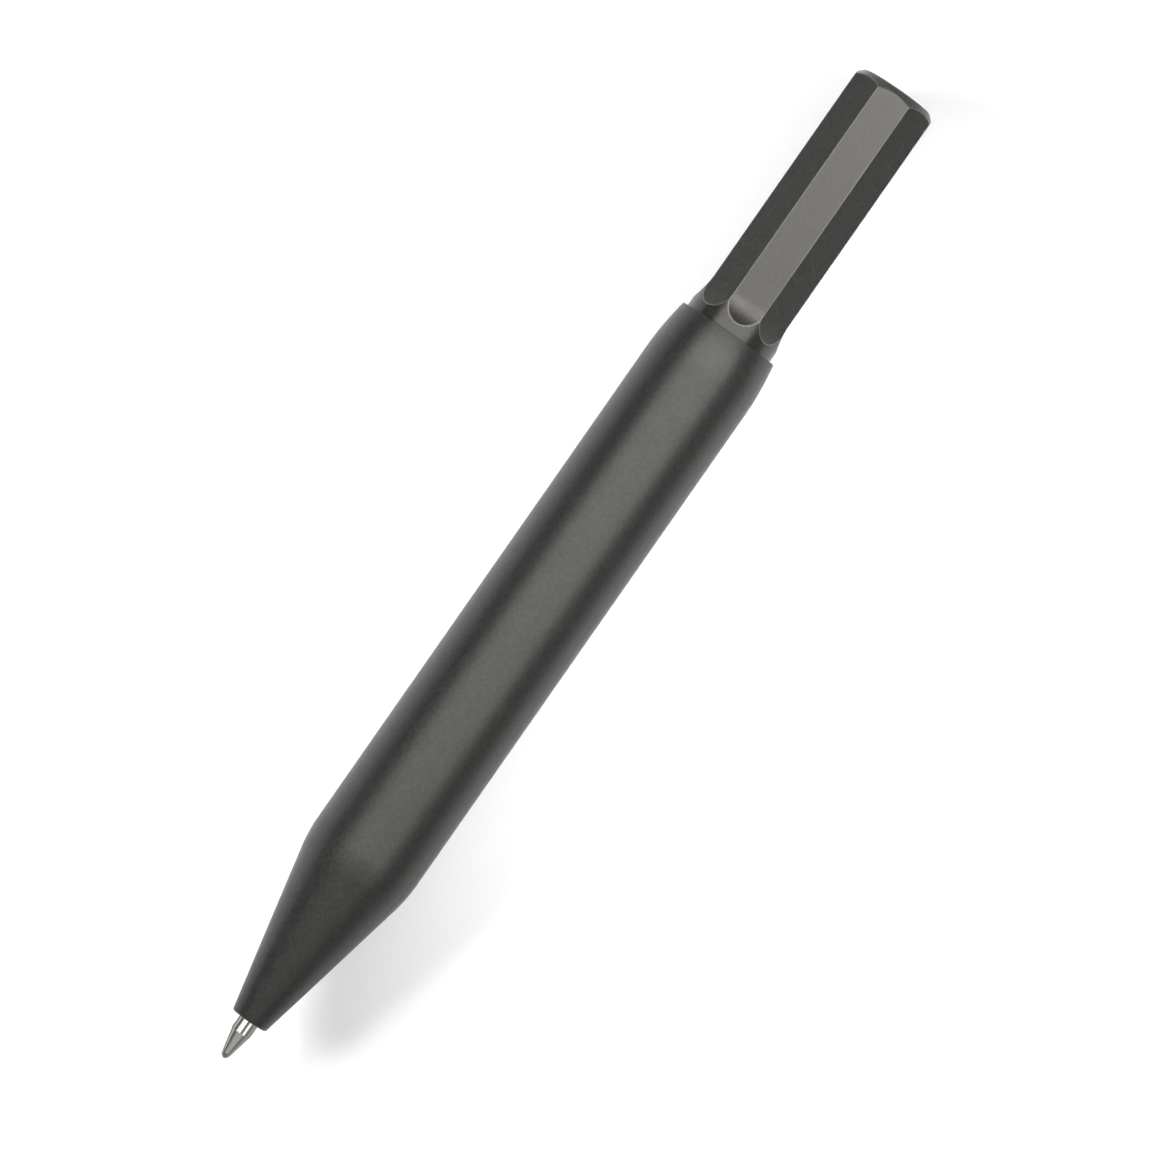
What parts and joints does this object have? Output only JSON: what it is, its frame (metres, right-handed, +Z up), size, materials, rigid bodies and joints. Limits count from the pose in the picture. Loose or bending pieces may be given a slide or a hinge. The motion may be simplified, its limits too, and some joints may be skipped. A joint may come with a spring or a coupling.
{
  "type": "retractable ballpoint pen",
  "caption": "Slim retractable ballpoint pen with a tapered round barrel, a long octagonal push button and a bare metal point, clicked in and out by a cam mechanism inside.",
  "frame": {"origin": "on the surface that the pen lies on, under the middle of its length with the point out", "axes": "+X along the pen from the writing point to the button, +Z up, one flat of the button facing up"},
  "size_m": [0.1224, 0.0124, 0.0125],
  "materials": {
    "black_anodised": "bead-blasted, matte black anodised",
    "black_polymer": "moulded, satin",
    "turned_brass": "turned",
    "drawn_brass": "drawn, bright",
    "white_polymer": "moulded, satin",
    "grey_polymer": "moulded, satin",
    "refill_steel": "drawn, brushed",
    "refill_brass": "turned",
    "nickel_silver": "turned, polished",
    "ball_carbide": "polished",
    "ink": "wet",
    "plug_polymer": "moulded, satin",
    "spring_steel": "drawn wire"
  },
  "bodies": {
    "barrel": {"barrel": "black_anodised", "thread_bush": "turned_brass", "mechanism_tube": "drawn_brass", "cam_sleeve": "white_polymer", "retaining_ring": "turned_brass", "return_spring": "spring_steel"},
    "button": {"push_button": "black_anodised", "plunger": "grey_polymer", "guide_ring": "black_polymer"},
    "refill": {"refill_tube": "refill_steel", "refill_neck": "refill_brass", "refill_point": "nickel_silver", "ink_column": "ink", "refill_end_plug": "plug_polymer"},
    "rotor": {"cam_rotor": "grey_polymer"},
    "ball": {"writing_ball": "ball_carbide"}
  },
  "joints": [
    {"name": "button_press", "type": "slide", "parent": "barrel", "child": "button", "axis": [-1, 0, 0], "range_m": [-0.0055, 0.0012]},
    {"name": "refill_slide", "type": "slide", "parent": "barrel", "child": "refill", "axis": [-1, 0, 0], "range_m": [-0.0055, 0.0012], "deforming": ["return_spring"]},
    {"name": "rotor_turn", "type": "hinge", "parent": "refill", "child": "rotor", "pos_m": [0.04512, 0, 0.00625], "axis": [1, 0, 0], "range_deg": [-1.5, 1.5]},
    {"name": "ball_roll", "type": "hinge", "parent": "refill", "child": "ball", "pos_m": [-0.06081, 0, 0.00625], "axis": [0, 1, 0], "continuous": true}
  ],
  "couplings": [
    {"joint": "refill_slide", "follows": "button_press", "ratio": 1}
  ]
}
